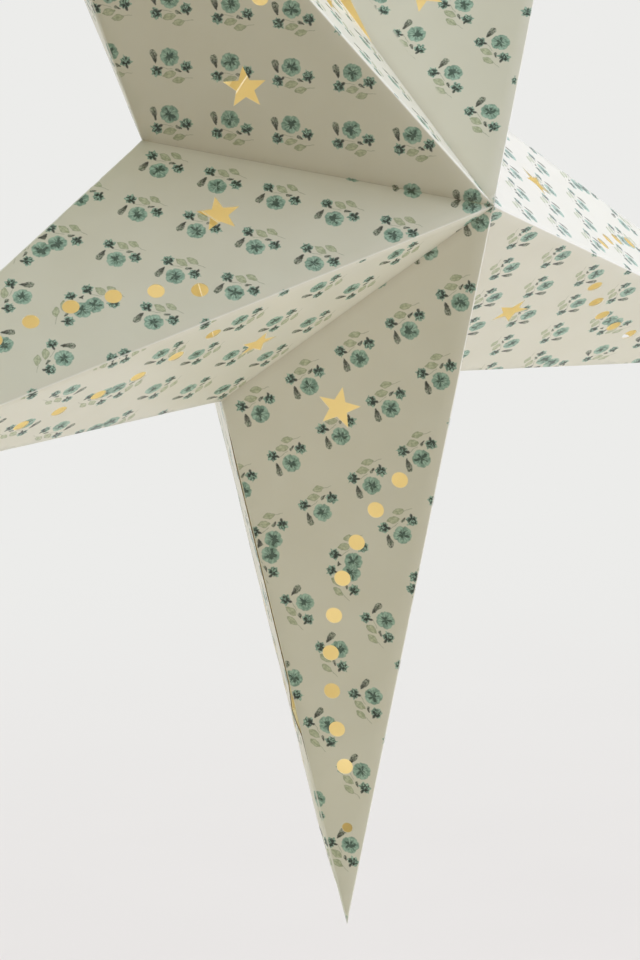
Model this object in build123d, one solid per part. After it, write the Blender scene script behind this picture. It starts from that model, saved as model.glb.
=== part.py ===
"""Paper star lantern: five folded card points, glued side by side into one hollow hanging star.

Millimetres. The star stands in the XZ plane about the origin, its front towards -Y and +Z up.
Each point is one folded sheet: two front and two back facets, glue flaps and a closing tab.
"""
import os
from math import cos, pi, sin, tan

from build123d import *

# The star
tip_radius = 300.0  # middle of the star to the end of a point
valley_radius = 95.0  # middle of the star to the inner corner between two points
half_depth = 102.5  # middle of the star to its front or back peak
paper = 0.4  # thickness of the card

# Folded-in flaps that glue two points together, and the tab that closes each point
flap_width = 5.0
flap_peak_gap = 9.0  # from the peak to the end of a flap, along the valley
flap_corner_gap = 5.0  # from the inner corner to the end of a flap
tab_width = 7.0
tab_tip_gap = 48.0  # from the end of the point to the end of the tab, along the outer edge
tab_corner_gap = 6.0  # from the inner corner to the other end of the tab

# The lamp mouth: the top seam is left unglued near the inner corner, and gapes
mouth_reach = 48.0  # from the inner corner down each valley
mouth_left = 1.0  # how far the upper left point stands back from the seam
mouth_right = 6.5  # how far the upper right point stands back from the seam

# Cut-outs, the same on every facet
dot_count = 9
dot_diameter = 6.7
dot_sides = 12  # a punched dot is a twelve-sided prism, to keep the mesh light
end_dot_diameter = 4.4
star_diameter = 18.0  # across the circle through the star's five ends
star_waist = 0.42  # inner corners of the cut-out star, as a share of its ends

# Places on a facet: along the ridge from the peak or the tip, and square off the ridge
star_from_peak = 96.5
star_off_ridge = 44.5
end_dot_from_tip = 43.0
end_dot_off_ridge = 8.0
arch_from_peak = 120.0
arch_from_tip = 69.5
arch_start_off_ridge = 15.0
arch_top_off_ridge = 30.0
arch_shoulder_off_ridge = 25.0
arch_end_off_ridge = 14.0
arch_top_share = 0.38  # where the arch is highest, as a share of its length along the ridge
arch_shoulder_share = 0.76  # where it starts to drop, as a share of the same length

# Points in the order they follow each other, anticlockwise seen from the front
point_names = ["point_down", "point_right", "point_upper_right", "point_upper_left", "point_left"]
left, right = -1, 1
front, back = -1, 1
half_turn = pi / len(point_names)  # from the middle of a point to its inner corners

# One point is drawn hanging down and turned into place
tip = Vector(0, 0, -tip_radius)


def peak(face):
    return Vector(0, face * half_depth, 0)


def inner_corner(side):
    return Vector(side * valley_radius * sin(half_turn), 0, -valley_radius * cos(half_turn))


def facet_plane(side, face):
    """X runs from the peak along the ridge to the tip, and Y across the facet to its inner corner."""
    ridge = tip - peak(face)
    normal = ridge.cross(inner_corner(side) - peak(face))
    return Plane(peak(face), x_dir=ridge, z_dir=normal)


def star_outline(outer, inner, count):
    """Corners of a star with one end pointing down."""
    corners = []
    for i in range(2 * count):
        radius = outer if i % 2 == 0 else inner
        turn = i * pi / count - pi / 2
        corners.append((radius * cos(turn), radius * sin(turn)))
    return corners


def double_pyramid(share):
    """The star as a solid, at a share of its full size."""
    corners = star_outline(share * tip_radius, share * valley_radius, len(point_names))
    outline = Plane.XZ * Polygon(*corners, align=None)
    front_half = loft([outline, Vertex(*(share * peak(front)))])
    back_half = loft([outline, Vertex(*(share * peak(back)))])
    return front_half + back_half


def folded_skin():
    """The walls of one point. All facets are equally far from the middle: inside is a smaller star."""
    reach = facet_plane(right, front).to_local_coords(Vector(0, 0, 0)).Z
    share = 1 - paper / abs(reach)
    end = 2 * tip_radius
    width = end * tan(half_turn)
    fan = Polygon((0, 0), (-width, -end), (width, -end), align=None)
    sector = extrude(Plane.XZ * fan, amount=2 * half_depth, both=True)
    return (double_pyramid(1) - double_pyramid(share)) & sector


def bevelled_strip(start, end, width, bevel_start, bevel_end):
    """A strip along X whose far side is shorter by a bevel at each end."""
    return Polygon((start, 0), (end, 0), (end - bevel_end, width), (start + bevel_start, width), align=None)


def flap(side, face, corner_gap):
    """Folded inwards at a valley, to lie flat against the next point's flap."""
    valley = inner_corner(side) - peak(face)
    inward = Vector(-side * cos(half_turn), 0, -sin(half_turn))
    plane = Plane(peak(face), x_dir=valley, z_dir=side * face * inward)
    strip = bevelled_strip(flap_peak_gap, valley.length - corner_gap, flap_width, flap_width, flap_width)
    return extrude(plane * strip, amount=paper, dir=inward)


def closing_tab():
    """The edge of the front sheet, glued inside the left back facet. It shares half that facet's wall."""
    facet = facet_plane(left, back)
    edge = inner_corner(left) - tip
    outward = facet.z_dir * facet.z_dir.dot(tip)
    plane = Plane(tip, x_dir=edge, z_dir=outward)
    strip = bevelled_strip(tab_tip_gap, edge.length - tab_corner_gap, tab_width, 2 * tab_width, tab_width)
    return extrude(plane.offset(-2 * paper) * strip, amount=1.5 * paper)


def cut_outs(side, face):
    """An arch of punched dots, a smaller one towards the tip, and a star with one end towards the peak."""
    facet = facet_plane(side, face)
    length = (tip - peak(face)).length
    span = length - arch_from_peak - arch_from_tip
    arch = Spline(
        (arch_from_peak, arch_start_off_ridge),
        (arch_from_peak + arch_top_share * span, arch_top_off_ridge),
        (arch_from_peak + arch_shoulder_share * span, arch_shoulder_off_ridge),
        (arch_from_peak + span, arch_end_off_ridge),
    )
    dot = RegularPolygon(dot_diameter / 2, dot_sides)
    end_dot = RegularPolygon(end_dot_diameter / 2, dot_sides)
    ends = star_diameter / 2
    star = Rot(0, 0, -90) * Polygon(*star_outline(ends, ends * star_waist, 5), align=None)
    shapes = [Pos(*(arch @ (i / (dot_count - 1)))) * dot for i in range(dot_count)]
    shapes.append(Pos(length - end_dot_from_tip, end_dot_off_ridge) * end_dot)
    shapes.append(Pos(star_from_peak, star_off_ridge) * star)
    return [extrude(facet * shape, amount=4 * paper, both=True) for shape in shapes]


def folded_point(open_side=None):
    """One sheet, folded and closed. The flaps on its open side stop short of the lamp mouth."""
    point = folded_skin() + closing_tab()
    punches = []
    for side in (left, right):
        for face in (front, back):
            gap = mouth_reach if side == open_side else flap_corner_gap
            point += flap(side, face, gap)
            punches += cut_outs(side, face)
    return point - punches


def lamp_mouth():
    """A slim diamond in plan, straight down through the top seam."""
    valley = inner_corner(right) - peak(front)
    half_length = half_depth * mouth_reach / valley.length
    diamond = Polygon((0, half_length), (-mouth_left, 0), (0, -half_length), (mouth_right, 0), align=None)
    return extrude(diamond, amount=2 * valley_radius)


closed = folded_point()
sheets = {name: closed for name in point_names}
sheets["point_upper_left"] = folded_point(open_side=left)
sheets["point_upper_right"] = folded_point(open_side=right)

os.makedirs("parts", exist_ok=True)
for i, name in enumerate(point_names):
    node = Rot(0, -360 * i / len(point_names), 0) * sheets[name]
    if name.startswith("point_upper"):
        node -= lamp_mouth()
    export_step(node, f"parts/{name}.step")
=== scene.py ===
"""Paper star lantern: printed card points with soft folds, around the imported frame."""
import random
from math import ceil, cos, pi, radians, sin, sqrt

import bpy
from mathutils import Euler, Matrix, Vector, noise
from mathutils.geometry import delaunay_2d_cdt


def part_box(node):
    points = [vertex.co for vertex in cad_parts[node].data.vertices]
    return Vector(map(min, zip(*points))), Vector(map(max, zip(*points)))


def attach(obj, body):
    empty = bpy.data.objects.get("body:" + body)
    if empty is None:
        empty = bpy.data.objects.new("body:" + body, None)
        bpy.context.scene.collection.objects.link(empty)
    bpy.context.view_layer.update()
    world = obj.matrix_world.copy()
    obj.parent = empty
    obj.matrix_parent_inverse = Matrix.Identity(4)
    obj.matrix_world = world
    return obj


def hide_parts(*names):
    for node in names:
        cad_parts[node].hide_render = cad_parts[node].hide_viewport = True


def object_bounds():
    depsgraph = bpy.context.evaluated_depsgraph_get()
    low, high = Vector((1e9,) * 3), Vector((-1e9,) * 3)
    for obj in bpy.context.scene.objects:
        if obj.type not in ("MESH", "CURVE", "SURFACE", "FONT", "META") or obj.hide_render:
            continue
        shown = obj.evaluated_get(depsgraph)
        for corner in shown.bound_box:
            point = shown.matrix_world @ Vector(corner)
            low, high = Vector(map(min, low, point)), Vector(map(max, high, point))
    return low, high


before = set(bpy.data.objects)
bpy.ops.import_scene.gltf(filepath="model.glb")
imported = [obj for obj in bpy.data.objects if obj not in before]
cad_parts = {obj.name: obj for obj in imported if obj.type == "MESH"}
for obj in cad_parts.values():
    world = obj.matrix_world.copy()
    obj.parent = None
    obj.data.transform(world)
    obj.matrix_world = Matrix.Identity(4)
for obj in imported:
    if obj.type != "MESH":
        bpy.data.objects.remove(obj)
cad_low, cad_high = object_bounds()

# The star's sizes, read from the frame, in metres
MM = 0.001
POINTS = ["point_down", "point_right", "point_upper_right", "point_upper_left", "point_left"]
HALF_TURN = pi / len(POINTS)
down_low, down_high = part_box("point_down")
tip_radius = -down_low[2]
half_depth = down_high[1]
valley_radius = down_high[0] / sin(HALF_TURN)
LEFT, RIGHT = -1, 1
FRONT, BACK = -1, 1

# The card, as in the CAD part
paper = 0.4 * MM
flap_width = 5 * MM
flap_peak_gap = 9 * MM
flap_corner_gap = 5 * MM
mouth_reach = 48 * MM
mouth_left = 1.0 * MM
mouth_right = 6.5 * MM
dot_count = 9
dot_radius = 3.35 * MM
end_dot_radius = 2.2 * MM
star_radius = 9 * MM
star_waist = 0.42
star_place = Vector((96.5, 44.5)) * MM
end_dot_from_tip = 43 * MM
end_dot_off_ridge = 8 * MM
arch_from_peak = 120 * MM
arch_from_tip = 69.5 * MM
arch_shares = (0, 0.38, 0.76, 1)
arch_heights = (15 * MM, 30 * MM, 25 * MM, 14 * MM)

# The sides that stand open at the lamp mouth, and how far they stand back
MOUTHS = {"point_upper_left": (LEFT, mouth_left), "point_upper_right": (RIGHT, mouth_right)}
# Facets unlike the rest, named by point, side and face. Bowed ones spring out between their folds
BOWS = {("point_down", LEFT, BACK): 1.8 * MM, ("point_upper_left", RIGHT, BACK): 3.0 * MM}
GAPING = ("point_down", LEFT, BACK)  # its glued outer edge has come loose
BARE = ("point_upper_right", RIGHT, FRONT)  # it has no print beside its valley

# The mesh
mesh_step = 6 * MM
outline_clear = 0.5 * mesh_step  # inner points keep this far from the outline
hole_clear = 0.3 * mesh_step  # and this far from a hole
hole_sides = 28
weld = 0.02 * MM  # closer points become one
seam_gap = 0.02 * MM  # each point stands out by this much, so that glued flaps don't coincide
on_line = 1e-6  # a place closer than this is on a line
tiny = 1e-9  # a rounding error
WITHIN = 1  # triangles are made within the outline
triangle_margin = 1e-7
sharp_angle = radians(50)
OUTSIDE, INSIDE, CUT_EDGE, GLUE_SHADOW_LINE = range(4)  # material slots of a sheet

# How the card departs from flat facets
valley_sink = 0.35 * MM  # it is drawn in at a valley
valley_reach = 5 * MM  # as far as this from the fold
sink_from_peak, sink_from_corner = 20 * MM, 10 * MM  # and less near the valley's ends
warp = 0.7 * MM
ripple = 0.35 * MM
ripple_length = 42 * MM
ripple_margin = 14 * MM  # ripples die out this far from a fold
point_key, side_key, face_key = 9.3, 1.7, 0.6  # steps through the noise, to make facets unlike
fold_round = 0.6 * MM  # a fold is rounded this far to each side
fold_clear = 0.99 * fold_round  # the rounding stops where another side is closer
ridge_drop = 0.60  # how far the middle of a ridge drops, as a share of fold_round
edge_drop = 0.41  # and the middle of an outer edge
bow_from, bow_full, bow_fade = 0.24, 0.48, 0.84  # where a bow starts, is full and fades along the ridge
bow_valley = 30 * MM  # and it dies out this far from the valley
seam_line = 0.47 * MM  # the loose edge stands off, and shows as a fine dark line
seam_start = 6.5 * MM  # from the inner corner, which stays closed
seam_end = 0.7  # as a share of the outer edge
seam_rise, seam_fall = 20 * MM, 30 * MM  # it opens and closes over these lengths
gape = 1.3 * MM  # and opens further here
gape_from_corner = 134 * MM
gape_half_length = 12 * MM
glue_shadow_reach = 3 * MM  # cut edges this close to the loose edge are brown: glue, and painted shadow of the seam's gap
WARP_SEED = 7

tip = Vector((0, 0, -tip_radius))


def peak(face):
    return Vector((0, face * half_depth, 0))


def inner_corner(side):
    return Vector((side * valley_radius * sin(HALF_TURN), 0, -valley_radius * cos(HALF_TURN)))


# One facet in its own plane: X along the ridge from the peak, Y towards the inner corner
ridge_length = (tip - peak(FRONT)).length
valley_length = (inner_corner(LEFT) - peak(FRONT)).length
edge_length = (inner_corner(LEFT) - tip).length
corner_x = (tip - peak(FRONT)).dot(inner_corner(LEFT) - peak(FRONT)) / ridge_length
corner = Vector((corner_x, sqrt(valley_length ** 2 - corner_x ** 2)))
facet_tip = Vector((ridge_length, 0))
facet_peak = Vector((0, 0))
valley_way = corner.normalized()
valley_off = Vector((-valley_way.y, valley_way.x))
edge_way = (corner - facet_tip).normalized()


def from_valley(place):
    """How far a place on a facet lies from its valley."""
    return max(0, -valley_off.dot(place))


def from_edge(place):
    """How far it lies from its outer edge."""
    return max(0, edge_way.cross(place - facet_tip))


def arch_curve(share):
    """The dots' arch: a smooth curve through four heights, as a share of its length along the ridge."""
    span = ridge_length - arch_from_peak - arch_from_tip
    height = 0
    for i, at in enumerate(arch_shares):
        weight = 1
        for j, other in enumerate(arch_shares):
            if i != j:
                weight *= (share - other) / (at - other)
        height += weight * arch_heights[i]
    return Vector((arch_from_peak + share * span, height))


def even_steps(curve, count, samples=400):
    """Points at equal distances along a curve given by a share from 0 to 1."""
    points = [curve(i / samples) for i in range(samples + 1)]
    reached = [0]
    for a, b in zip(points, points[1:]):
        reached.append(reached[-1] + (b - a).length)
    places = []
    for k in range(count):
        want = reached[-1] * k / (count - 1)
        nearest = min(range(samples + 1), key=lambda i: abs(reached[i] - want))
        places.append(points[nearest])
    return places


def ring(centre, radius, sides):
    """Corners of a regular polygon."""
    turns = [2 * pi * i / sides for i in range(sides)]
    return [centre + radius * Vector((cos(t), sin(t))) for t in turns]


def star_ring(centre, ends, waist):
    """A five-ended star with one end towards the peak."""
    corners = []
    for i in range(10):
        radius = ends if i % 2 == 0 else ends * waist
        turn = pi + i * pi / 5
        corners.append(centre + radius * Vector((cos(turn), sin(turn))))
    return corners


def cut_outs():
    """Each hole as its outline, its centre and its reach."""
    holes = []
    for place in even_steps(arch_curve, dot_count):
        holes.append((ring(place, dot_radius, hole_sides), place, dot_radius))
    end_dot = Vector((ridge_length - end_dot_from_tip, end_dot_off_ridge))
    holes.append((ring(end_dot, end_dot_radius, hole_sides), end_dot, end_dot_radius))
    holes.append((star_ring(star_place, star_radius, star_waist), star_place, star_radius))
    return holes


def steps_between(a, b, stops=()):
    """Points from a up to but not b, about a mesh step apart, with a stop at each given distance."""
    length = (b - a).length
    marks = [0] + [s for s in sorted(stops) if 0 < s < length] + [length]
    points = []
    for low, high in zip(marks, marks[1:]):
        count = max(1, round((high - low) / mesh_step))
        points += [a.lerp(b, (low + (high - low) * i / count) / length) for i in range(count)]
    return points


def mouth_corners(stand_back):
    """Where the lamp mouth's edge leaves the valley and where it meets the outer edge."""
    leave = valley_way * (valley_length - mouth_reach)
    meet = corner.lerp(facet_tip, stand_back / (tip_radius * sin(HALF_TURN)))
    return leave, meet


def facet_sheet(flap_end, stand_back):
    """Triangles of one facet in its plane. flap_end is where its flap stops along the valley."""
    if stand_back:
        leave, meet = mouth_corners(stand_back)
        corners = [facet_peak, facet_tip, meet, leave]
    else:
        corners = [facet_peak, facet_tip, corner]
    outline = []
    for a, b in zip(corners, corners[1:] + corners[:1]):
        stops = ()
        if b == facet_peak:
            stops = (a.length - flap_end, a.length - flap_peak_gap)
        outline += steps_between(a, b, stops)
    holes = cut_outs()
    points, edges = [], []
    for loop in [outline] + [hole[0] for hole in holes]:
        first = len(points)
        points += loop
        edges += [(first + i, first + (i + 1) % len(loop)) for i in range(len(loop))]
    points += inner_points(corners, holes) + fold_rows(corners)
    found = delaunay_2d_cdt(points, edges, [], WITHIN, triangle_margin)
    triangles = [t for t in found[2] if not in_hole([found[0][i] for i in t], holes)]
    return found[0], triangles


def fold_rows(corners):
    """Points beside the ridge and the outer edge, where the rounding of the fold begins."""
    rows = []
    for a, b in ((facet_peak, facet_tip), (facet_tip, corners[2])):
        way = (b - a).normalized()
        for point in steps_between(a, b):
            point = point + fold_round * Vector((-way.y, way.x))
            if distance_inside(point, corners) > fold_clear:
                rows.append(point)
    return rows


def in_hole(triangle, holes):
    """Whether a triangle of the facet fills part of a cut-out."""
    middle = sum(triangle, Vector((0, 0))) / 3
    for outline, centre, reach in holes:
        if (middle - centre).length < reach and winds_round(middle, outline):
            return True
    return False


def winds_round(point, outline):
    """Whether an outline goes round a point."""
    inside = False
    for a, b in zip(outline, outline[1:] + outline[:1]):
        if (a.y > point.y) != (b.y > point.y):
            if point.x < a.x + (point.y - a.y) / (b.y - a.y) * (b.x - a.x):
                inside = not inside
    return inside


def distance_inside(point, corners):
    """How far a point lies inside a convex outline that runs anticlockwise."""
    nearest = 1.0
    for a, b in zip(corners, corners[1:] + corners[:1]):
        way = (b - a).normalized()
        nearest = min(nearest, way.cross(point - a))
    return nearest


def inner_points(corners, holes):
    """A triangular grid of points that stays off the outline and the holes."""
    points = []
    row_height = mesh_step * sqrt(3) / 2
    for row in range(1, ceil(corner.y / row_height)):
        for column in range(ceil(ridge_length / mesh_step)):
            point = Vector(((column + row % 2 / 2) * mesh_step, row * row_height))
            clear = distance_inside(point, corners) > outline_clear
            if clear and all((point - h[1]).length > h[2] + hole_clear for h in holes):
                points.append(point)
    return points


def flap_sheet(flap_end):
    """A glue flap as a bevelled strip. X runs along the valley from the peak, Y into the star."""
    stops = (valley_length - flap_end, valley_length - flap_peak_gap)
    along = [p.length for p in steps_between(valley_way * valley_length, facet_peak, stops)]
    marks = sorted(m for m in along if flap_peak_gap - tiny <= m <= flap_end + tiny)
    near = [Vector((m, 0)) for m in marks]
    far = [Vector((flap_end - flap_width, flap_width)), Vector((flap_peak_gap + flap_width, flap_width))]
    loop = near + far
    edges = [(i, (i + 1) % len(loop)) for i in range(len(loop))]
    found = delaunay_2d_cdt(loop, edges, [], WITHIN, triangle_margin)
    return found[0], found[2]


def belly(place):
    """A shallow swelling, 1 in the middle of a facet and 0 along its sides."""
    # The three distances, as shares of the facet's heights, multiply to 1/27 at most
    area = ridge_length * corner.y
    shares = place.y * ridge_length * from_valley(place) * valley_length * from_edge(place) * edge_length
    return 27 * shares / area ** 3


def bulge(place):
    """A longer swelling, 1 along the middle of a facet's outer part and 0 along its sides."""
    to_edge = from_edge(place)
    width = place.y + to_edge
    if width < tiny:
        return 0
    share = place.x / ridge_length
    start = (share - bow_from) / (bow_full - bow_from)
    end = (1 - share) / (1 - bow_fade)
    rise = max(0, min(1, start, end, from_valley(place) / bow_valley))
    return 4 * place.y * to_edge / width ** 2 * rise ** 2 * (3 - 2 * rise)


def rippled(place, key):
    """A shallow smooth waviness that leaves the folds straight."""
    fade = min(1, min(place.y, from_valley(place), from_edge(place)) / ripple_margin)
    return noise.noise(Vector((place.x / ripple_length, place.y / ripple_length, key))) * fade


def groove(place):
    """How much the card is drawn in near the valley, from 1 on the fold to 0."""
    ends = min(1, place.length / sink_from_peak, (corner - place).length / sink_from_corner)
    return max(0, 1 - from_valley(place) / valley_reach) ** 2 * ends


def opening(place):
    """How far the loose outer edge stands off, for places on that edge."""
    if from_edge(place) > on_line:
        return 0
    run = (place - corner).length
    fine = min(1, (run - seam_start) / seam_rise, (seam_end * edge_length - run) / seam_fall)
    along = min(1, abs(run - gape_from_corner) / gape_half_length)
    return seam_line * max(0, fine) + gape * (1 - along ** 2) ** 2


class Facet:
    """One facet of a sheet that hangs down. It bends places in its plane to where the card lies."""

    def __init__(self, point, side, face, lift, key):
        self.name = (point, side, face)
        self.peak = peak(face)
        self.ridge = (tip - self.peak).normalized()
        normal = self.ridge.cross(inner_corner(side) - self.peak).normalized()
        self.across = normal.cross(self.ridge)
        self.handed = 1 if normal.dot(tip) > 0 else -1
        self.outward = self.handed * normal
        self.lift = lift
        self.key = key + side_key * side + face_key * face

        inward = Vector((-side * cos(HALF_TURN), 0, -sin(HALF_TURN)))
        self.valley = (inner_corner(side) - self.peak).normalized()
        into = inward.cross(self.valley).normalized()
        self.into = into if into.y * face < 0 else -into
        self.flap_handed = 1 if self.valley.cross(self.into).dot(inward) < 0 else -1

    def spot(self, place):
        """Where a place on the facet comes to lie."""
        swell = self.lift * belly(place) + ripple * rippled(place, self.key)
        swell += BOWS.get(self.name, 0) * bulge(place)
        spot = self.peak + place.x * self.ridge + place.y * self.across
        spot += swell * self.outward + valley_sink * groove(place) * self.into
        spot -= fold_round * self.rounding(place)
        if self.name == GAPING:
            spot += opening(place) * self.outward
        return spot

    def rounding(self, place):
        """How a place on a rounded fold drops in, as a share of fold_round."""
        if min((place - end).length for end in (facet_peak, facet_tip, corner)) > mesh_step / 2:
            if place.y < on_line:
                return ridge_drop * Vector((0, self.outward.y, self.outward.z)).normalized()
            if from_edge(place) < on_line:
                return edge_drop * Vector((self.outward.x, 0, self.outward.z)).normalized()
        return Vector((0, 0, 0))

    def flap_spot(self, place):
        """Where a place on the facet's flap comes to lie. The flap's near side is the valley."""
        if place.y < tiny:
            return self.spot(valley_way * place.x)
        return self.peak + place.x * self.valley + place.y * self.into


def point_mesh(name, point, lifts, key):
    """One folded sheet, hanging down: its four facets and four flaps, welded along the folds."""
    open_side, stand_back = MOUTHS.get(point, (None, 0))
    marks, faces = [], []
    for side in (LEFT, RIGHT):
        opened = side == open_side
        flap_end = valley_length - (mouth_reach if opened else flap_corner_gap)
        flat, triangles = facet_sheet(flap_end, stand_back if opened else 0)
        strip, strip_triangles = flap_sheet(flap_end)
        for face in (FRONT, BACK):
            facet = Facet(point, side, face, lifts[side, face], key)
            bare = float(facet.name == BARE)
            first = len(marks)
            marks += [(facet.spot(p), p, side, bare) for p in flat]
            faces += [tuple(first + i for i in t[::facet.handed]) for t in triangles]
            first = len(marks)
            marks += [(facet.flap_spot(p), valley_way * p.x + valley_off * p.y, side, 0.0) for p in strip]
            faces += [tuple(first + i for i in t[::facet.flap_handed]) for t in strip_triangles]
    return welded_mesh(name, marks, faces, REGISTER[point])


def welded_mesh(name, marks, faces, register):
    """Joins spots that coincide, and keeps each one's place on its facet and on the print."""
    index, spots, on_facet, on_print, new = {}, [], [], [], []
    for spot, place, side, bare in marks:
        key = tuple(round(c / weld) for c in spot)
        if key not in index:
            index[key] = len(spots)
            spots.append(spot)
            x, y = place.x / MM, place.y / MM
            on_facet.append((x, y, 0))
            on_print.append((x - register[0], side * y - register[1], bare))
        new.append(index[key])
    polygons = [tuple(new[i] for i in f) for f in faces]
    polygons = [p for p in polygons if len(set(p)) == 3]
    mesh = bpy.data.meshes.new(name)
    mesh.from_pydata(spots, [], polygons)
    for label, rows in (("facet", on_facet), ("print", on_print)):
        layer = mesh.attributes.new(label, "FLOAT_VECTOR", "POINT")
        for cell, row in zip(layer.data, rows):
            cell.vector = row
    return mesh


def srgb(r, g, b):
    """A colour written as it looks, from 0 to 255, in the linear values that shaders use."""
    def linear(c):
        c /= 255
        return c / 12.92 if c <= 0.04045 else ((c + 0.055) / 1.055) ** 2.4
    return (linear(r), linear(g), linear(b), 1)


class Nodes:
    """Short calls for building a node tree. A value is a number, a tuple or another node's socket."""

    def __init__(self, owner):
        owner.use_nodes = True
        self.tree = owner.node_tree
        self.tree.nodes.clear()

    def add(self, kind, **settings):
        node = self.tree.nodes.new(kind)
        for key, value in settings.items():
            setattr(node, key, value)
        return node

    def plug(self, value, socket):
        if isinstance(value, bpy.types.NodeSocket):
            self.tree.links.new(value, socket)
        else:
            socket.default_value = value

    def output(self, kind, shader):
        self.plug(shader.outputs[0], self.add(kind).inputs["Surface"])

    def math(self, operation, *values):
        node = self.add("ShaderNodeMath", operation=operation)
        for value, socket in zip(values, node.inputs):
            self.plug(value, socket)
        return node.outputs[0]

    def times(self, product, *factors):
        for factor in factors:
            product = self.math("MULTIPLY", product, factor)
        return product

    def vector(self, operation, *values):
        node = self.add("ShaderNodeVectorMath", operation=operation)
        for value, socket in zip(values, node.inputs):
            self.plug(value, socket)
        return node.outputs

    def dot(self, vector, way):
        return self.vector("DOT_PRODUCT", vector, way)["Value"]

    def shift(self, vector, by):
        return self.vector("SUBTRACT", vector, by)["Vector"]

    def length(self, vector):
        return self.vector("LENGTH", vector)["Value"]

    def ramp(self, value, low, high, start=0.0, end=1.0):
        """Goes smoothly from start to end as value goes from low to high."""
        node = self.add("ShaderNodeMapRange", interpolation_type="SMOOTHSTEP")
        self.plug(value, node.inputs["Value"])
        for socket, number in (("From Min", low), ("From Max", high), ("To Min", start), ("To Max", end)):
            node.inputs[socket].default_value = number
        return node.outputs["Result"]

    def below(self, value, limit, soft):
        """1 where value is below limit, fading to 0 over a soft edge."""
        return self.ramp(self.math("SUBTRACT", value, limit), -soft, soft, 1.0, 0.0)

    def mix(self, factor, a, b):
        """Mixes two colours."""
        node = self.add("ShaderNodeMix", data_type="RGBA")
        self.plug(factor, node.inputs[0])
        self.plug(a, node.inputs[6])
        self.plug(b, node.inputs[7])
        return node.outputs[2]

    def blend(self, factor, a, b):
        """Mixes two shaders."""
        node = self.add("ShaderNodeMixShader")
        self.plug(factor, node.inputs["Fac"])
        self.plug(a.outputs[0], node.inputs[1])
        self.plug(b.outputs[0], node.inputs[2])
        return node

    def noise(self, vector, scale, detail=2.0, output="Fac"):
        node = self.add("ShaderNodeTexNoise")
        self.plug(vector, node.inputs["Vector"])
        node.inputs["Scale"].default_value = scale
        node.inputs["Detail"].default_value = detail
        return node.outputs[output]

    def waver(self, vector, place, scale, amount):
        """Shakes a place by a smooth noise, so that drawn edges look brushed."""
        off = self.shift(self.noise(place, scale, output="Color"), (0.5, 0.5, 0.5))
        return self.vector("MULTIPLY_ADD", off, (amount, amount, 0), vector)["Vector"]

    def combine(self, x, y):
        node = self.add("ShaderNodeCombineXYZ")
        self.plug(x, node.inputs[0])
        self.plug(y, node.inputs[1])
        return node.outputs[0]

    def split(self, vector):
        node = self.add("ShaderNodeSeparateXYZ")
        self.plug(vector, node.inputs[0])
        return node.outputs

    def stored(self, label):
        """A place that was stored with the mesh."""
        return self.add("ShaderNodeAttribute", attribute_name=label).outputs["Vector"]

    def coordinates(self, kind):
        return self.add("ShaderNodeTexCoord").outputs[kind]


# The print, in millimetres on a facet: sprigs on a staggered lattice
PRINT_A = Vector((33.68, 1.37))
PRINT_B = Vector((16.36, 17.38))
PRINT_START = Vector((42.1, 6.9))
PRINT_TURN = 162.0  # the print runs back from here towards the tip
# How far each sheet was cut off the print, along the ridge and across it
REGISTER = {
    "point_down": (-0.6, 1.5),
    "point_right": (0.1, 0.6),
    "point_upper_right": (1.7, 1.8),
    "point_upper_left": (-0.6, -1.2),
    "point_left": (-0.5, 1.9),
}
SOFT = 0.28  # of the edges of what is drawn
WAVER_SCALE, WAVER = 0.55, 1.1  # how finely and how far those edges waver
BARE_BAND, BARE_SOFT = 10.0, 1.0  # from the valley
# Bands along the folds: their reach and softness in millimetres, and their strength. The ridge band is
# wear with a painted highlight, the valley bands are painted shade
WEAR_AND_HIGHLIGHT = (0.3, 0.2, 0.75)
WEAR_AND_HIGHLIGHT_ROUGH = 0.4  # how far the edge of the wear and painted highlight wanders
# Painted shade along each valley: a fine brown line, then a wider soft band
VALLEY_SHADE_LINE = (0.2, 0.5, 0.3)
VALLEY_SHADE = (1.5, 2.4, 0.14)
# The card's own grain
GRAIN_SCALE = 900.0
GRAIN_STRENGTH = 0.06
GRAIN_DEPTH = 0.2 * MM

CARD = srgb(234, 231, 221)
CARD_DULL = srgb(223, 218, 204)
TEAL_PALE = srgb(182, 212, 198)
TEAL = srgb(132, 163, 148)
TEAL_DARK = srgb(60, 82, 70)
SLATE = srgb(48, 58, 50)
SAGE_PALE = srgb(204, 209, 180)
SAGE = srgb(164, 174, 136)
SAGE_DARK = srgb(108, 118, 84)
BUD = srgb(140, 152, 132)
BUD_DARK = srgb(90, 98, 84)
BUD_TAIL = srgb(52, 52, 45)
# The colour of the painted shade in the valleys
CREASE_SHADE = srgb(150, 132, 104)
# Light worn card along the ridges and outer edges, which is also a painted highlight
WORN_AND_HIGHLIGHT = srgb(246, 244, 238)
YELLOW = srgb(248, 235, 190)
YELLOW_DULL = srgb(244, 228, 178)
CUT = srgb(244, 240, 228)
CUT_DULL = srgb(232, 226, 208)
# Glue on the loose seam's cut edges, darkened as painted shadow of its gap
GLUE_AND_SHADOW = srgb(134, 119, 90)
GLUE_AND_SHADOW_DARK = srgb(104, 91, 66)


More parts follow.
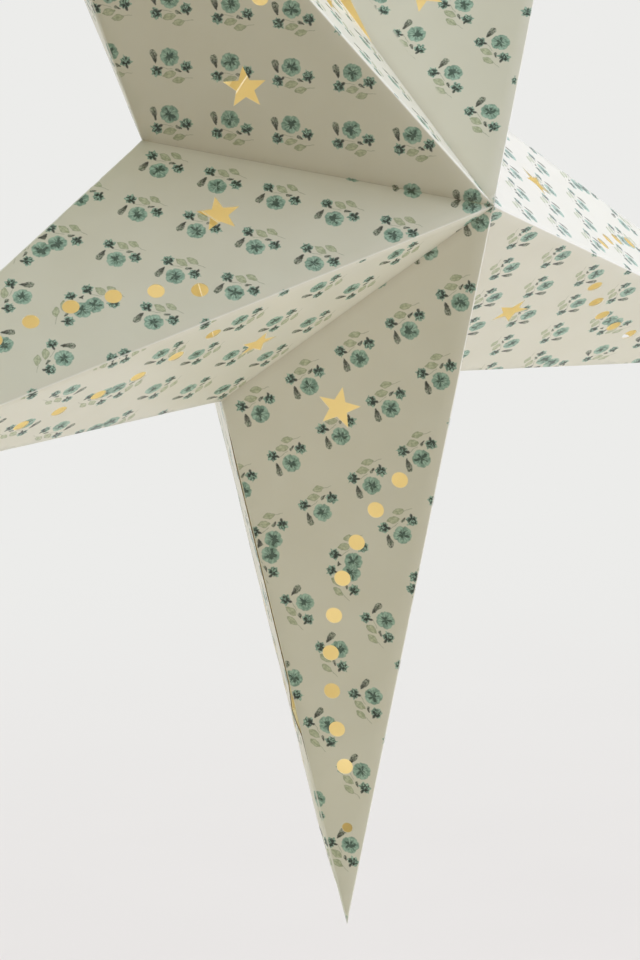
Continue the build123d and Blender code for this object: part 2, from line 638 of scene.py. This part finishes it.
class Print:
    """Draws the sprigs' parts over a colour, each repeated on the lattice."""

    def __init__(self, nodes, place):
        self.nodes = nodes
        self.place = place

    def local(self, offset, degrees=0):
        """X and Y, in millimetres, about the nearest copy of a sprig's part, turned by an angle."""
        n = self.nodes
        area = PRINT_A.cross(PRINT_B)
        centre = PRINT_START + Vector(offset)
        off = n.shift(self.place, (centre.x, centre.y, 0))
        s = n.dot(off, (PRINT_B.y / area, -PRINT_B.x / area, 0))
        t = n.dot(off, (-PRINT_A.y / area, PRINT_A.x / area, 0))
        s = n.math("WRAP", s, 0.5, -0.5)
        t = n.math("WRAP", t, 0.5, -0.5)
        turn = radians(degrees)
        sockets = []
        for way in (Vector((cos(turn), sin(turn))), Vector((-sin(turn), cos(turn)))):
            part = n.times(s, PRINT_A.dot(way))
            sockets.append(n.math("MULTIPLY_ADD", t, PRINT_B.dot(way), part))
        return sockets

    def polar(self, x, y):
        n = self.nodes
        return n.length(n.combine(x, y)), n.math("ARCTAN2", y, x)

    def wash(self, inside, colour, deep, pale, scale):
        """Fills a shape with uneven watercolour, from deep to pale."""
        n = self.nodes
        pool = n.ramp(n.noise(self.place, scale, 3.0), 0.36, 0.64)
        return n.mix(inside, colour, n.mix(pool, deep, pale))

    def flower(self, colour, radius=3.72, petals=5, streaks=13):
        """A round bloom: notched rim, streaked petals and a dark branching middle."""
        n = self.nodes
        r, turn = self.polar(*self.local((0, 0)))
        petal = n.math("ABSOLUTE", n.math("COSINE", n.math("MULTIPLY_ADD", turn, petals / 2, 0.4)))
        notch = n.math("POWER", n.math("SUBTRACT", 1.0, petal), 3.0)
        rim = n.math("MULTIPLY_ADD", notch, -0.45, radius)
        inside = n.below(r, rim, SOFT)
        colour = self.wash(inside, colour, TEAL, TEAL_PALE, 0.5)
        streak = n.math("COSINE", n.math("MULTIPLY_ADD", turn, streaks, n.times(r, 0.6)))
        veins = n.times(n.below(streak, -0.2, 0.6), n.below(r, 2.7, 0.9))
        colour = n.mix(n.times(inside, veins, 0.4), colour, TEAL_DARK)
        edge = n.below(n.math("SUBTRACT", rim, r), 0.3, 0.4)
        colour = n.mix(n.times(inside, edge, 0.3), colour, TEAL)
        spokes = n.math("COSINE", n.math("MULTIPLY_ADD", turn, petals, 0.8))
        blot = n.math("MULTIPLY_ADD", n.noise(self.place, 0.45, 1.0), 5.6, -1.4)
        middle = n.below(r, n.math("MULTIPLY_ADD", spokes, 0.6, blot), 0.55)
        return n.mix(n.times(middle, 0.85), colour, TEAL_DARK)

    def floret(self, colour, offset, degrees, size, frills=7, spikes=3):
        """A small spiky bloom opening along X, with a dark blotched middle and a pointed cup behind."""
        n = self.nodes
        x, y = self.local(offset, degrees)
        r, turn = self.polar(x, y)
        frill = n.math("ABSOLUTE", n.math("SINE", n.times(turn, frills / 2)))
        ragged = n.math("MULTIPLY_ADD", n.noise(self.place, 1.0), 1.8, 1.08 * size - 0.9)
        rim = n.math("MULTIPLY_ADD", frill, -0.26 * size, ragged)
        inside = n.times(n.below(r, rim, SOFT), n.below(n.times(x, -1.0), 1.5, 0.4))
        colour = self.wash(inside, colour, TEAL, TEAL_PALE, 0.9)
        rays = n.below(n.math("COSINE", n.times(turn, frills)), -0.1, 0.5)
        colour = n.mix(n.times(rays, inside, n.below(r, 1.9, 0.6), 0.6), colour, TEAL_DARK)
        blot = n.below(n.noise(self.place, 1.1, 1.0), 0.46, 0.08)
        colour = n.mix(n.times(blot, inside, n.below(r, 2.0, 0.5), 0.9), colour, SLATE)
        far, spread = self.polar(n.math("ADD", x, 0.9), y)
        spike = n.math("COSINE", n.times(spread, spikes))
        cup = n.below(far, n.math("MULTIPLY_ADD", spike, -0.75, 1.1), 0.35)
        colour = n.mix(n.times(cup, 0.85), colour, SLATE)
        stalk = n.below(n.math("ABSOLUTE", y), 0.22, 0.22)
        behind = n.below(n.math("ABSOLUTE", n.math("ADD", x, 1.9)), 0.7, 0.3)
        return n.mix(n.times(stalk, behind, 0.75), colour, SLATE)

    def bud(self, colour, offset, degrees, length, width):
        """A club shape along X, dark at its tail and feathered at its wide end."""
        n = self.nodes
        x, y = self.local(offset, degrees)
        share = n.math("DIVIDE", x, length)
        body = n.math("SUBTRACT", 1.0, n.times(share, share))
        body = n.math("SQRT", n.math("MAXIMUM", body, 0.0))
        half = n.times(body, n.math("MULTIPLY_ADD", share, 0.42 * width, 0.65 * width))
        inside = n.below(n.math("ABSOLUTE", y), half, SOFT)
        inside = n.times(inside, n.below(n.math("ABSOLUTE", x), length, SOFT))
        feather = n.below(n.noise(self.place, 1.3, 1.0), 0.5, 0.1)
        feather = n.math("MULTIPLY_ADD", feather, 0.45, 0.55)
        colour = self.wash(n.times(inside, feather), colour, BUD_DARK, BUD, 0.8)
        tail = n.below(share, 0.0, 0.6)
        colour = n.mix(n.times(inside, tail, 0.8), colour, BUD_TAIL)
        line = n.below(n.math("ABSOLUTE", n.math("ADD", y, 0.15)), 0.12, 0.2)
        return n.mix(n.times(inside, line, 0.5), colour, BUD_TAIL)

    def leaf(self, colour, offset, degrees, length, width):
        """A pointed leaf along X with a darker rim and midrib."""
        n = self.nodes
        x, y = self.local(offset, degrees)
        share = n.math("DIVIDE", x, length)
        half = n.times(n.math("SUBTRACT", 1.0, n.times(share, share)), width)
        side = n.math("ABSOLUTE", y)
        inside = n.times(n.below(side, half, SOFT), n.below(n.math("ABSOLUTE", x), length, SOFT))
        colour = self.wash(n.times(inside, 0.8), colour, SAGE, SAGE_PALE, 0.7)
        rim = n.below(n.math("SUBTRACT", half, side), 0.2, 0.25)
        rib = n.below(side, 0.08, 0.16)
        line = n.math("MAXIMUM", n.times(rim, 0.5), n.times(rib, 0.4))
        return n.mix(n.times(line, inside), colour, SAGE_DARK)

    def stem(self, colour, offset, degrees, length):
        """A thin line along X."""
        n = self.nodes
        x, y = self.local(offset, degrees)
        inside = n.below(n.math("ABSOLUTE", y), 0.1, 0.18)
        inside = n.times(inside, n.below(n.math("ABSOLUTE", x), length, 0.4))
        return n.mix(n.times(inside, 0.5), colour, SAGE_DARK)


# One sprig, from back to front: what is drawn, where from its bloom, its turn in degrees, its sizes
SPRIG = [
    (Print.stem, (-10.6, 0.6), 55, (2.6,)),
    (Print.stem, (-2.7, 4.0), 38, (2.3,)),
    (Print.leaf, (-9.3, 3.6), 62, (2.6, 1.3)),
    (Print.leaf, (-5.3, 4.8), 66, (2.8, 1.45)),
    (Print.bud, (-6.3, 0.9), 25, (1.4, 0.8)),
    (Print.bud, (4.0, 4.6), -27, (2.9, 1.75)),
    (Print.floret, (-7.1, -2.5), -25, (2.5,)),
    (Print.floret, (-1.1, 7.9), 84, (2.4,)),
]


def valley_distance(nodes):
    """How far a place on a facet lies from its valley, in millimetres."""
    return nodes.dot(nodes.stored("facet"), (-valley_off.x, -valley_off.y, 0))


def sprig_print(nodes):
    """The card's colour with the sprigs on it. The print is mirrored along each point and at a turn."""
    place = nodes.stored("print")
    parts = nodes.split(place)
    away = nodes.math("ABSOLUTE", nodes.math("SUBTRACT", parts["X"], PRINT_TURN))
    along = nodes.math("SUBTRACT", PRINT_TURN, away)
    across = nodes.math("ABSOLUTE", parts["Y"])
    sheet = Print(nodes, nodes.waver(nodes.combine(along, across), place, WAVER_SCALE, WAVER))
    card = nodes.mix(nodes.times(nodes.noise(place, 0.05, 3.0), 0.6), CARD, CARD_DULL)
    colour = card
    for draw, offset, degrees, sizes in SPRIG:
        colour = draw(sheet, colour, offset, degrees, *sizes)
    colour = sheet.flower(colour)
    band = nodes.below(valley_distance(nodes), BARE_BAND, BARE_SOFT)
    return nodes.mix(nodes.times(parts["Z"], band), colour, card)


def fold_wear_and_painted_light(nodes, colour):
    """White card shows in a hairline along the ridges and outer edges, as wear and a painted highlight.
    Valleys gather a brown line and band of painted shade.
    """
    place = nodes.stored("facet")
    from_tip = nodes.shift(place, (facet_tip.x / MM, 0, 0))
    to_edge = nodes.dot(from_tip, (-edge_way.y, edge_way.x, 0))
    nearest = nodes.math("MINIMUM", nodes.split(place)["Y"], to_edge)
    # A lighter hairline on the ridges and outer edges: worn card and a painted highlight
    reach, soft, share = WEAR_AND_HIGHLIGHT
    limit = nodes.math("MULTIPLY_ADD", nodes.noise(place, 0.6), WEAR_AND_HIGHLIGHT_ROUGH, reach)
    wear_and_highlight = nodes.times(nodes.below(nearest, limit, soft), share)
    colour = nodes.mix(wear_and_highlight, colour, WORN_AND_HIGHLIGHT)
    # Painted shade: a brown line and a soft band along each valley
    to_valley = valley_distance(nodes)
    shade_bands = []
    for reach, soft, share in (VALLEY_SHADE_LINE, VALLEY_SHADE):
        shade_bands.append(nodes.times(nodes.below(to_valley, reach, soft), share))
    return nodes.mix(nodes.math("MAXIMUM", *shade_bands), colour, CREASE_SHADE)


# The print, with wear and a painted highlight along the folds and painted shade in the valleys
def printed(nodes):
    return fold_wear_and_painted_light(nodes, sprig_print(nodes))


def plain(colour, shade):
    """A plain sheet with faint fibres."""
    def draw(nodes):
        fibre = nodes.noise(nodes.stored("facet"), 1.4, 4.0)
        return nodes.mix(nodes.times(fibre, 0.5), colour, shade)
    return draw


def card_material(name, colour_of, through, roughness):
    """Card that lets a share of the light through. colour_of draws its colour."""
    material = bpy.data.materials.new(name)
    nodes = Nodes(material)
    colour = colour_of(nodes)
    surface = nodes.add("ShaderNodeBsdfPrincipled")
    nodes.plug(colour, surface.inputs["Base Color"])
    surface.inputs["Roughness"].default_value = roughness
    bump = nodes.add("ShaderNodeBump")
    bump.inputs["Strength"].default_value = GRAIN_STRENGTH
    bump.inputs["Distance"].default_value = GRAIN_DEPTH
    grain = nodes.noise(nodes.coordinates("Object"), GRAIN_SCALE, 4.0)
    nodes.plug(grain, bump.inputs["Height"])
    nodes.plug(bump.outputs[0], surface.inputs["Normal"])
    glow = nodes.add("ShaderNodeBsdfTranslucent")
    nodes.plug(colour, glow.inputs["Color"])
    nodes.output("ShaderNodeOutputMaterial", nodes.blend(through, surface, glow))
    return material


def make_points():
    """The five sheets, each in place of its CAD node."""
    outside = card_material("printed_card", printed, through=0.10, roughness=0.25)
    inside = card_material("yellow_inside", plain(YELLOW, YELLOW_DULL), through=0.15, roughness=0.7)
    # Glue and painted shadow along the loose seam
    glue_shadow = card_material("glue_and_shadow_line", plain(GLUE_AND_SHADOW, GLUE_AND_SHADOW_DARK), through=0.05, roughness=0.7)
    edge = card_material("cut_edge", plain(CUT, CUT_DULL), through=0.1, roughness=0.7)
    draw = random.Random(WARP_SEED)
    for i, node in enumerate(POINTS):
        lifts = {(s, f): warp * draw.uniform(-1, 1) for s in (LEFT, RIGHT) for f in (FRONT, BACK)}
        mesh = point_mesh("card_" + node, node, lifts, point_key * i)
        mesh.transform(Matrix.Translation((0, 0, -seam_gap)))
        mesh.transform(Matrix.Rotation(-2 * HALF_TURN * i, 4, "Y"))
        piece = bpy.data.objects.new("card_" + node, mesh)
        bpy.context.collection.objects.link(piece)
        for material in (outside, inside, edge):
            mesh.materials.append(material)
        thicken(piece)
        # The loose seam's cut edges get glue and painted shadow
        if node == GAPING[0]:
            glue_and_shadow_edge(piece, glue_shadow)
        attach(piece, "root")
        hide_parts(node)


def thicken(piece):
    """Gives the sheet its thickness: print outside, yellow inside, white at the cut edges."""
    solid = piece.modifiers.new("card", "SOLIDIFY")
    solid.thickness = paper
    solid.offset = -1
    solid.use_even_offset = True
    solid.use_quality_normals = True
    solid.material_offset = INSIDE - OUTSIDE
    solid.material_offset_rim = CUT_EDGE - OUTSIDE
    shape = bpy.data.meshes.new_from_object(piece.evaluated_get(bpy.context.evaluated_depsgraph_get()))
    piece.modifiers.clear()
    shape.name = piece.name
    piece.data = shape
    for polygon in shape.polygons:
        polygon.use_smooth = True
    shape.set_sharp_from_angle(angle=sharp_angle)


def glue_and_shadow_edge(piece, glue_shadow):
    """Browns the cut edges along the lower point's loose seam: glue, and painted shadow of the gap behind
    it.
    """
    piece.data.materials.append(glue_shadow)
    way = (inner_corner(GAPING[1]) - tip).normalized()
    for polygon in piece.data.polygons:
        off = polygon.center - tip
        off -= off.dot(way) * way
        if polygon.material_index == CUT_EDGE and off.length < glue_shadow_reach:
            polygon.material_index = GLUE_SHADOW_LINE


# Light of the room: where it comes from, as seen by the star, and its colour
ROOM = [
    ((1, 0, 0), (0.60, 0.59, 0.72)),
    ((0.92, -0.39, 0), (1.41, 1.49, 1.83)),
    ((0, 1, 0), (1.60, 1.58, 1.45)),
    ((0, -1, 0), (0.32, 0.20, 0.0)),
    ((0, 0, 1), (0.52, 0.62, 0.34)),
    ((0.5, -0.4, 0.77), (0.72, 0.80, 1.04)),
]
WALL = srgb(236, 236, 234)
# Lamps inside the star, for the light that thin card lets in
GLOW = 0.0285
LAMPS = [(0.11, 0.64), (0.17, 0.41), (0.23, 0.17)]  # along a point: how far out, and their share of GLOW
LAMP_RADIUS = 0.05  # less towards the tip
MIDDLE_SHARE, MIDDLE_RADIUS = 3, 0.03  # of the lamp in the star's middle
# The floor, below the hanging star
FLOOR_DROP = 0.16
FLOOR_REACH, FLOOR_SIDES = 40.0, 96
FADE_REACH, FADE_SOFT = 1.2, 1.0  # where it fades out into the wall, and how softly
FLOOR_BOUNCE = srgb(243, 238, 226)  # its colour as it lights the star
FLOOR_PALE, FLOOR_DULL = srgb(229, 219, 220), srgb(225, 215, 216)  # and as it is seen
# The camera, with its turn about X, Y and Z in degrees
CAMERA_PLACE = Vector((-1.179, -1.368, 0.134))
CAMERA_TURN = (82.151, 2.131, -40.912)
CAMERA_LENS, CAMERA_SENSOR = 168.24, 36
CAMERA_SIGHT = 100


def seen_rays(nodes):
    """1 for what the camera sees straight, in gloss or through something clear, and 0 for lighting."""
    path = nodes.add("ShaderNodeLightPath")
    seen = path.outputs["Is Camera Ray"]
    for kind in ("Is Glossy Ray", "Is Transmission Ray"):
        seen = nodes.math("MAXIMUM", seen, path.outputs[kind])
    return seen


def world_light():
    """A soft room: each side's light fades smoothly into the next. The camera sees a pale wall."""
    world = bpy.data.worlds.new("room")
    bpy.context.scene.world = world
    nodes = Nodes(world)
    way = nodes.coordinates("Generated")
    total = (0, 0, 0)
    for source, colour in ROOM:
        facing = nodes.math("MAXIMUM", nodes.dot(way, source), 0.0)
        share = nodes.times(facing, facing)
        total = nodes.vector("MULTIPLY_ADD", share, colour, total)["Vector"]
    light = nodes.add("ShaderNodeBackground")
    nodes.plug(total, light.inputs["Color"])
    wall = nodes.add("ShaderNodeBackground")
    nodes.plug(WALL, wall.inputs["Color"])
    nodes.output("ShaderNodeOutputWorld", nodes.blend(seen_rays(nodes), light, wall))


def inner_lamp(name, place, radius, power):
    """A small soft lamp that the camera doesn't see."""
    light = bpy.data.lights.new(name, "POINT")
    light.shadow_soft_size = radius
    light.energy = power
    lamp = bpy.data.objects.new(name, light)
    lamp.location = place
    lamp.visible_camera = False
    bpy.context.collection.objects.link(lamp)


def inner_light():
    """Lamps along the middle of each point, weaker towards its tip, so that the walls are lit evenly."""
    inner_lamp("glow_middle", (0, 0, 0), MIDDLE_RADIUS, MIDDLE_SHARE * GLOW)
    for i, node in enumerate(POINTS):
        way = Matrix.Rotation(-2 * HALF_TURN * i, 3, "Y") @ tip.normalized()
        for reach, share in LAMPS:
            radius = LAMP_RADIUS * (1 - reach / tip_radius)
            inner_lamp(f"glow_{round(reach * 100)}_{node}", reach * way, radius, share * GLOW)


def floor_material():
    """Pale, with faint specks. What is seen of it fades out into the wall."""
    material = bpy.data.materials.new("pale_floor")
    nodes = Nodes(material)
    where = nodes.coordinates("Object")
    seen = seen_rays(nodes)
    surface = nodes.add("ShaderNodeBsdfPrincipled")
    surface.inputs["Roughness"].default_value = 0.9
    specks = nodes.mix(nodes.noise(where, 6.0), FLOOR_PALE, FLOOR_DULL)
    nodes.plug(nodes.mix(seen, FLOOR_BOUNCE, specks), surface.inputs["Base Color"])
    clear = nodes.add("ShaderNodeBsdfTransparent")
    wall = nodes.add("ShaderNodeEmission")
    nodes.plug(WALL, wall.inputs["Color"])
    away = nodes.length(nodes.vector("MULTIPLY", where, (1, 1, 0))["Vector"])
    near = nodes.below(away, FADE_REACH, FADE_SOFT)
    nodes.output("ShaderNodeOutputMaterial", nodes.blend(near, nodes.blend(seen, clear, wall), surface))
    return material


def floor():
    """A pale round floor, fading out into the pale room."""
    level = cad_low[2] - FLOOR_DROP
    rim = [(p.x, p.y, level) for p in ring(Vector((0, 0)), FLOOR_REACH, FLOOR_SIDES)]
    mesh = bpy.data.meshes.new("floor")
    mesh.from_pydata(rim, [], [tuple(range(FLOOR_SIDES))])
    mesh.materials.append(floor_material())
    disc = bpy.data.objects.new("floor", mesh)
    bpy.context.collection.objects.link(disc)


def camera():
    """Left of the star and a little above its middle, as in the photograph."""
    data = bpy.data.cameras.new("camera")
    data.sensor_width = CAMERA_SENSOR
    data.lens = CAMERA_LENS
    data.clip_end = CAMERA_SIGHT
    eye = bpy.data.objects.new("camera", data)
    turn = Euler([radians(angle) for angle in CAMERA_TURN])
    eye.matrix_world = Matrix.LocRotScale(CAMERA_PLACE, turn, None)
    bpy.context.collection.objects.link(eye)
    bpy.context.scene.camera = eye


make_points()
world_light()
inner_light()
floor()
camera()
bpy.context.scene.view_settings.view_transform = "Standard"
